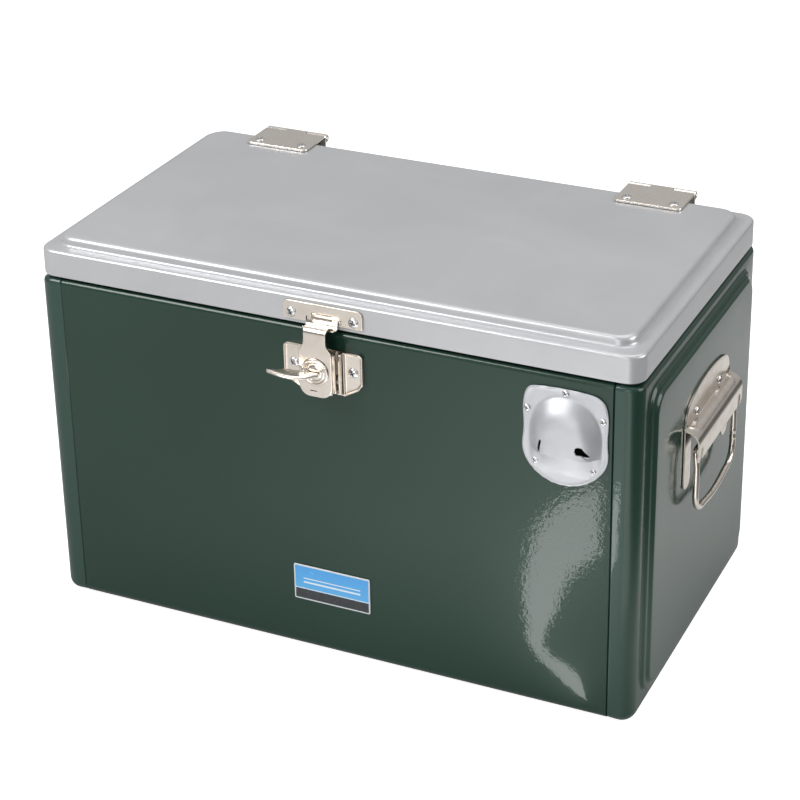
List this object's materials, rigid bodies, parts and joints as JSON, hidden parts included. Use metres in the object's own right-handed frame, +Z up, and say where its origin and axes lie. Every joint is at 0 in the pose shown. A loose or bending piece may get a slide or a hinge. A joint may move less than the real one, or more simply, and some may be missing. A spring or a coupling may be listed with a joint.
{
  "type": "cooler chest",
  "caption": "Steel-clad cooler chest with a hinged insulated lid, a turn latch on the front, a wall bottle opener and a wire bail handle on each end.",
  "frame": {"origin": "centre of the underside of the body, on the floor", "axes": "+Z up, -Y is the front with the latch, +X is the end at the viewer's right"},
  "size_m": [0.4794, 0.2885, 0.287],
  "materials": {
    "green_enamel": "gloss",
    "silver_paint": "satin",
    "nickel": "bright",
    "zinc": "bright",
    "satin_steel": "satin",
    "white_plastic": "satin",
    "foam": "matt",
    "black_rubber": "matt",
    "badge": "gloss"
  },
  "bodies": {
    "chest": {"body_wrap": "green_enamel", "end_panel_left": "green_enamel", "end_panel_right": "green_enamel", "body_insulation": "foam", "inner_liner": "white_plastic", "rim_trim": "black_rubber", "latch_base": "nickel", "latch_screw_left": "zinc", "latch_screw_right": "zinc", "bottle_opener": "satin_steel", "opener_screw_top": "zinc", "opener_screw_left": "zinc", "opener_screw_right": "zinc", "opener_screw_low_left": "zinc", "opener_screw_low_right": "zinc", "badge": "badge", "handle_plate_left": "nickel", "handle_plate_right": "nickel", "handle_screw_left_1": "zinc", "handle_screw_left_2": "zinc", "handle_screw_right_1": "zinc", "handle_screw_right_2": "zinc", "hinge_body_leaf_left": "nickel", "hinge_body_leaf_right": "nickel", "hinge_pin_left": "zinc", "hinge_pin_right": "zinc", "hinge_body_screw_1": "zinc", "hinge_body_screw_2": "zinc", "hinge_body_screw_3": "zinc", "hinge_body_screw_4": "zinc", "drain_washer": "black_rubber", "drain_fitting": "white_plastic", "drain_nut": "white_plastic"},
    "lid": {"lid_shell": "silver_paint", "lid_insulation": "foam", "lid_pan": "white_plastic", "lid_gasket": "black_rubber", "keeper": "nickel", "keeper_screw_left": "zinc", "keeper_screw_right": "zinc", "hinge_lid_leaf_left": "nickel", "hinge_lid_leaf_right": "nickel", "hinge_lid_screw_1": "zinc", "hinge_lid_screw_2": "zinc", "hinge_lid_screw_3": "zinc", "hinge_lid_screw_4": "zinc"},
    "slider": {"latch_slider": "zinc", "claw_pin": "zinc"},
    "claw": {"latch_claw": "nickel"},
    "turn": {"turn_disc": "nickel", "turn_lever": "nickel"},
    "bail_l": {"bail_left": "nickel"},
    "bail_r": {"bail_right": "nickel"},
    "plug": {"drain_plug": "black_rubber"}
  },
  "joints": [
    {"name": "lid_hinge", "type": "hinge", "parent": "chest", "child": "lid", "pos_m": [0, 0.1295, 0.2828], "axis": [-1, 0, 0], "range_deg": [0, 105]},
    {"name": "claw_lift", "type": "slide", "parent": "chest", "child": "slider", "axis": [0, 0, 1], "range_m": [0, 0.007]},
    {"name": "claw_swing", "type": "hinge", "parent": "slider", "child": "claw", "pos_m": [0, -0.1303, 0.215], "axis": [1, 0, 0], "range_deg": [0, 14.1]},
    {"name": "latch_turn", "type": "hinge", "parent": "claw", "child": "turn", "pos_m": [0, -0.1415, 0.231], "axis": [0, -1, 0], "range_deg": [0, 181]},
    {"name": "bail_left_swing", "type": "hinge", "parent": "chest", "child": "bail_l", "pos_m": [-0.235, 0, 0.1718], "axis": [0, 1, 0], "range_deg": [0, 90]},
    {"name": "bail_right_swing", "type": "hinge", "parent": "chest", "child": "bail_r", "pos_m": [0.235, 0, 0.1718], "axis": [0, -1, 0], "range_deg": [0, 90]},
    {"name": "drain_plug_pull", "type": "slide", "parent": "chest", "child": "plug", "axis": [-1, 0, 0], "range_m": [0, 0.018]}
  ],
  "couplings": [
    {"joint": "latch_turn", "follows": "claw_lift", "rad_per_m": 448.79},
    {"joint": "claw_swing", "follows": "claw_lift", "rad_per_m": 34.9}
  ]
}
